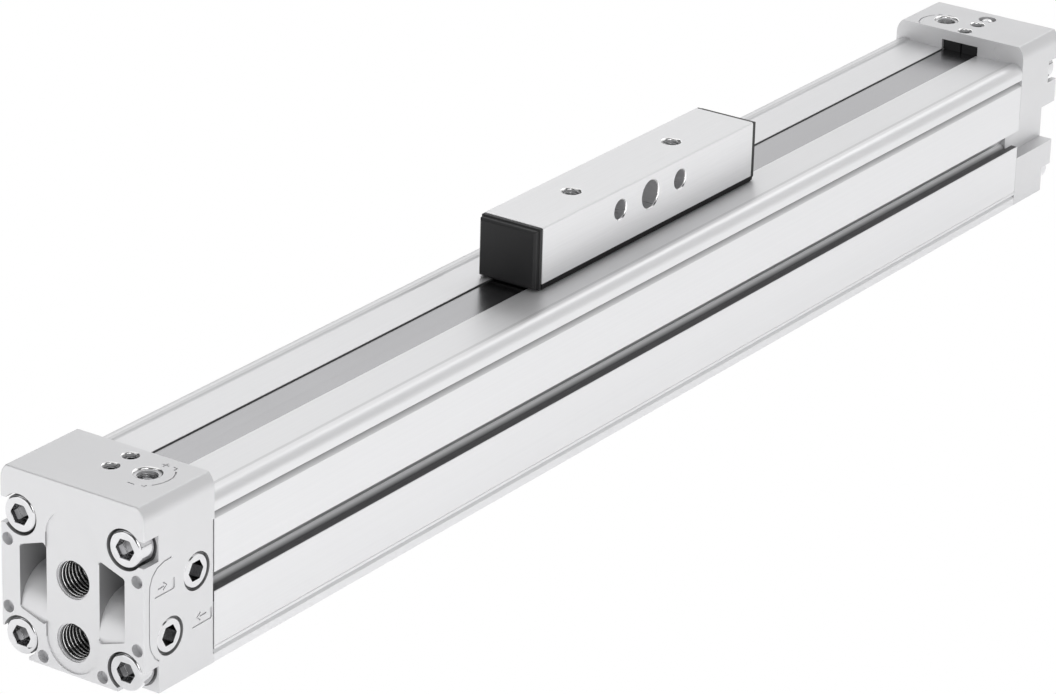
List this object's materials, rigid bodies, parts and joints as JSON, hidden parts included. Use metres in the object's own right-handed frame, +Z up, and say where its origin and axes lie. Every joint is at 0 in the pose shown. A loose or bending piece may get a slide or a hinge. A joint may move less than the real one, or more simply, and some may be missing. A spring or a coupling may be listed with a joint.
{
  "type": "rodless pneumatic cylinder",
  "caption": "Band-sealed rodless air cylinder: slotted extruded barrel with cast end caps and an aluminium carriage that travels along the top.",
  "frame": {"origin": "middle of the underside of the whole cylinder", "axes": "+X along the barrel from the ported end cap to the far end cap, +Z up towards the carriage, -Y the side with the two plugs in the ported end cap"},
  "size_m": [0.45, 0.045, 0.0633],
  "materials": {
    "clear_anodised_aluminium": "satin, clear anodised extrusion",
    "cast_aluminium": "satin light grey die casting",
    "carriage_aluminium": "fine machined, anodised",
    "turned_aluminium": "turned",
    "stainless_band": "rolled, satin",
    "zinc_plated_steel": "bright plated",
    "black_plastic": "moulded",
    "seal_rubber": "moulded",
    "sealing_band_plastic": "smooth",
    "rubber_bonded_magnet": "plain",
    "ferrite": "sintered"
  },
  "bodies": {
    "cylinder": {"barrel_profile": "clear_anodised_aluminium", "near_end_cap": "cast_aluminium", "near_cap_screws": "zinc_plated_steel", "near_side_plugs": "zinc_plated_steel", "near_clamp_set_screws": "zinc_plated_steel", "near_cap_gasket": "seal_rubber", "near_bore_ring": "seal_rubber", "near_band_clamp": "black_plastic", "near_cushion_sleeve": "turned_aluminium", "far_end_cap": "cast_aluminium", "far_cap_screws": "zinc_plated_steel", "far_side_plugs": "zinc_plated_steel", "far_clamp_set_screws": "zinc_plated_steel", "far_cap_gasket": "seal_rubber", "far_bore_ring": "seal_rubber", "far_band_clamp": "black_plastic", "far_cushion_sleeve": "turned_aluminium", "far_port_plugs": "zinc_plated_steel", "far_ball_plug": "zinc_plated_steel", "outer_cover_band": "stainless_band", "inner_sealing_band": "sealing_band_plastic", "band_magnet_strips": "rubber_bonded_magnet"},
    "carriage": {"carriage_body": "carriage_aluminium", "near_carriage_end_cap": "black_plastic", "far_carriage_end_cap": "black_plastic", "carriage_slide_strip": "black_plastic", "near_band_guide": "black_plastic", "far_band_guide": "black_plastic", "yoke_screws": "zinc_plated_steel", "piston_yoke": "turned_aluminium", "near_piston_head": "turned_aluminium", "near_wear_ring": "black_plastic", "near_piston_magnet": "ferrite", "near_piston_seal": "seal_rubber", "near_cushion_seal": "seal_rubber", "far_piston_head": "turned_aluminium", "far_wear_ring": "black_plastic", "far_piston_magnet": "ferrite", "far_piston_seal": "seal_rubber", "far_cushion_seal": "seal_rubber"},
    "near_cushion_needle": {"near_cushion_screw": "zinc_plated_steel"},
    "far_cushion_needle": {"far_cushion_screw": "zinc_plated_steel"}
  },
  "joints": [
    {"name": "carriage_slide", "type": "slide", "parent": "cylinder", "child": "carriage", "axis": [1, 0, 0], "range_m": [-0.1364, 0.1136], "deforming": ["outer_cover_band", "inner_sealing_band"]},
    {"name": "near_cushion_turn", "type": "hinge", "parent": "cylinder", "child": "near_cushion_needle", "pos_m": [-0.2077, -0.0098, 0.0513], "axis": [0, 0, 1], "range_deg": [-270, 270]},
    {"name": "far_cushion_turn", "type": "hinge", "parent": "cylinder", "child": "far_cushion_needle", "pos_m": [0.211, 0.0098, 0.0513], "axis": [0, 0, 1], "range_deg": [-270, 270]}
  ]
}
